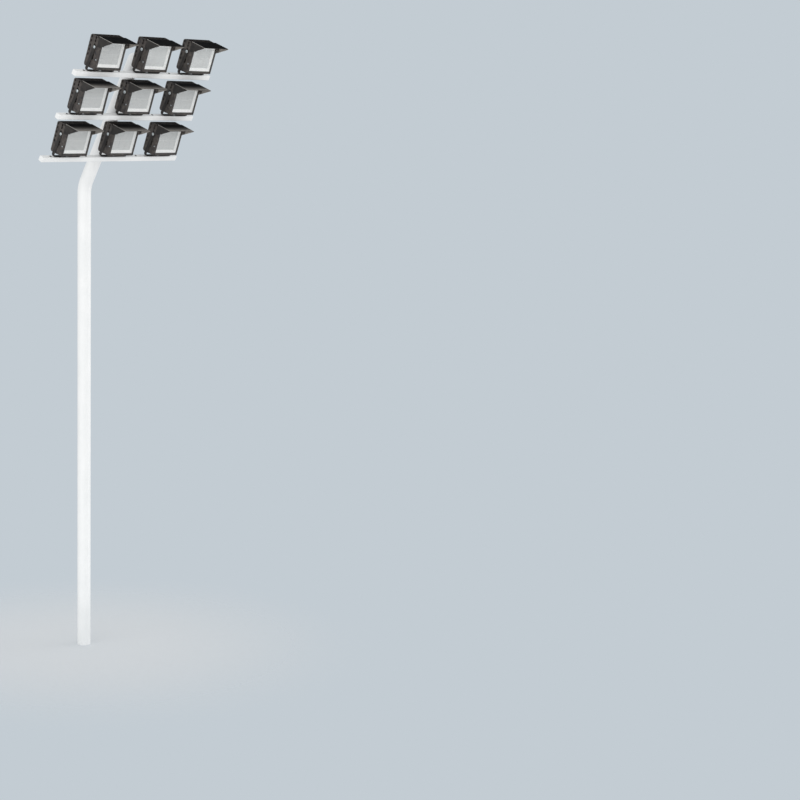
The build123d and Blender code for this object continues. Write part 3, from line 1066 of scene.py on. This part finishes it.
# The lamps' pieces
body_mesh = template(lamp_body(), [cast_black, nylon, fin_black])
screws_mesh = template(bezel_screws(), [screw_steel])
bolts_mesh = template(pivot_bolts(), [stainless])
led_mesh = template(led_unit(), [reflector_white, lens_carrier, lens_acrylic])
glass_mesh = template(front_glass(), [glass])
hood_mesh = template(visor_hood(), [powder_coat, inner_face_grey, crease_highlight_coat, shaded_top_coat])
# Hoods under a crossbar carry a painted reflection of it; the top row's hoods carry none
hood_mesh_with_bar_reflection = hood_mesh.copy()
paint_bar_reflection(hood_mesh, 0.0)
paint_bar_reflection(hood_mesh_with_bar_reflection, 1.0)
for tag, pivot in pivots.items():
    lamp = f"lamp_{tag}"
    lamp_place = Matrix.Translation(pivot) @ Matrix.Rotation(lamp_tilt, 4, "X")
    base = pivot - head_up * pivot_height / 1000
    base_place = Matrix.Translation(base) @ Matrix.Rotation(head_lean, 4, "X")
    place_piece(f"u_bracket_{tag}", bracket_mesh, base_place, "mast", "bracket_black", f"bracket_{tag}")
    place_piece(f"lamp_body_{tag}", body_mesh, lamp_place, lamp, "housing_black", f"housing_{tag}")
    place_piece(f"lamp_screws_{tag}", screws_mesh, lamp_place, lamp, "housing_black")
    place_piece(f"pivot_bolts_{tag}", bolts_mesh, lamp_place, lamp, "housing_black")
    place_piece(f"led_unit_{tag}", led_mesh, lamp_place, lamp, "led_white", f"led_panel_{tag}")
    place_piece(f"front_glass_{tag}", glass_mesh, lamp_place, lamp, "led_white")
    hood = hood_mesh if tag.startswith("top") else hood_mesh_with_bar_reflection
    place_piece(f"visor_hood_{tag}", hood, lamp_place, lamp, "visor_black", f"visor_{tag}")


# Stage: a pale floor that fades out round the foot, and soft studio light

backdrop_colour = "#c3ccd3"
floor_colour = "#e3e8ec"
floor_radius = 7.0
floor_full = 0.8
floor_end = 5.5
sky_strength = 0.69
sun_softness = radians(66.0)
suns = [    # name, direction that it shines from, strength
    ("left_light", (-0.95, -0.1, 0.12), 0.72),
    ("right_light", (0.75, -0.65, 0.12), 0.78),
    ("front_light", (-0.55, -0.8, 0.05), 0.4),
]


def floor_material():
    """Matt pale floor that fades into the backdrop away from the mast's foot."""
    material, tree, place = new_material("pale_studio_floor")
    distance = add_node(tree, "VectorMath", {"operation": "LENGTH"}, input_0=place).outputs["Value"]
    fade = add_node(
        tree, "MapRange", {"interpolation_type": "SMOOTHSTEP"}, Value=distance,
        From_Min=floor_full, From_Max=floor_end, To_Min=1.0, To_Max=0.0,
    )
    shader = add_node(tree, "BsdfPrincipled", Base_Color=colour(floor_colour), Roughness=0.9, Alpha=fade)
    add_node(tree, "OutputMaterial", Surface=shader)
    return material


def make_floor():
    """A round floor at ground level."""
    bm = bmesh.new()
    bmesh.ops.create_circle(bm, cap_ends=True, radius=floor_radius, segments=64)
    bmesh.ops.translate(bm, vec=(0, 0, -0.001), verts=bm.verts)
    mesh = bpy.data.meshes.new("studio_floor")
    bm.to_mesh(mesh)
    bm.free()
    mesh.materials.append(floor_material())
    floor = bpy.data.objects.new("studio_floor", mesh)
    bpy.context.scene.collection.objects.link(floor)


def make_world():
    """Even sky light, and the plain backdrop that the camera, gloss and glass see."""
    world = bpy.data.worlds.new("studio")
    bpy.context.scene.world = world
    world.use_nodes = True
    tree = world.node_tree
    tree.nodes.clear()
    path = add_node(tree, "LightPath").outputs
    clamped_sum = {"operation": "ADD", "use_clamp": True}
    seen = add_node(tree, "Math", clamped_sum, input_0=path["Is Camera Ray"], input_1=path["Is Glossy Ray"])
    seen = add_node(tree, "Math", clamped_sum, input_0=seen, input_1=path["Is Transmission Ray"])
    light = add_node(tree, "Background", Color=colour("#ffffff"), Strength=sky_strength)
    backdrop = add_node(tree, "Background", Color=colour(backdrop_colour), Strength=1.0)
    mixed = add_node(tree, "MixShader", Fac=seen, input_1=light, input_2=backdrop)
    add_node(tree, "OutputWorld", Surface=mixed)


def add_sun(name, towards, strength):
    """A distant soft lamp that shines from a direction."""
    lamp = bpy.data.lights.new(name, "SUN")
    lamp.energy = strength
    lamp.angle = sun_softness
    holder = bpy.data.objects.new(name, lamp)
    holder.rotation_euler = Vector(towards).to_track_quat("Z", "Y").to_euler()
    bpy.context.scene.collection.objects.link(holder)


# Camera, fitted to the photograph: its place in metres, its turns and its lens
camera_place = Vector((-24.876, -25.972, 9.974))
camera_yaw = radians(52.842)
camera_pitch = radians(-8.528)
camera_roll = radians(1.406)
camera_lens = 90.0


def make_camera():
    """The camera at the photograph's angle."""
    level_part = cos(camera_pitch)
    view = Vector((sin(camera_yaw) * level_part, cos(camera_yaw) * level_part, sin(camera_pitch)))
    level = view.cross(Vector((0, 0, 1))).normalized()
    above = level.cross(view)
    right = level * cos(camera_roll) + above * sin(camera_roll)
    up = right.cross(view)
    data = bpy.data.cameras.new("camera")
    data.lens = camera_lens
    data.sensor_width = 36.0
    data.clip_end = 200.0
    camera = bpy.data.objects.new("camera", data)
    turn = Matrix((right, up, -view)).transposed().to_4x4()
    camera.matrix_world = Matrix.Translation(camera_place) @ turn
    bpy.context.scene.collection.objects.link(camera)
    bpy.context.scene.camera = camera


make_floor()
make_world()
for sun in suns:
    add_sun(*sun)
make_camera()
bpy.context.scene.view_settings.view_transform = "Standard"
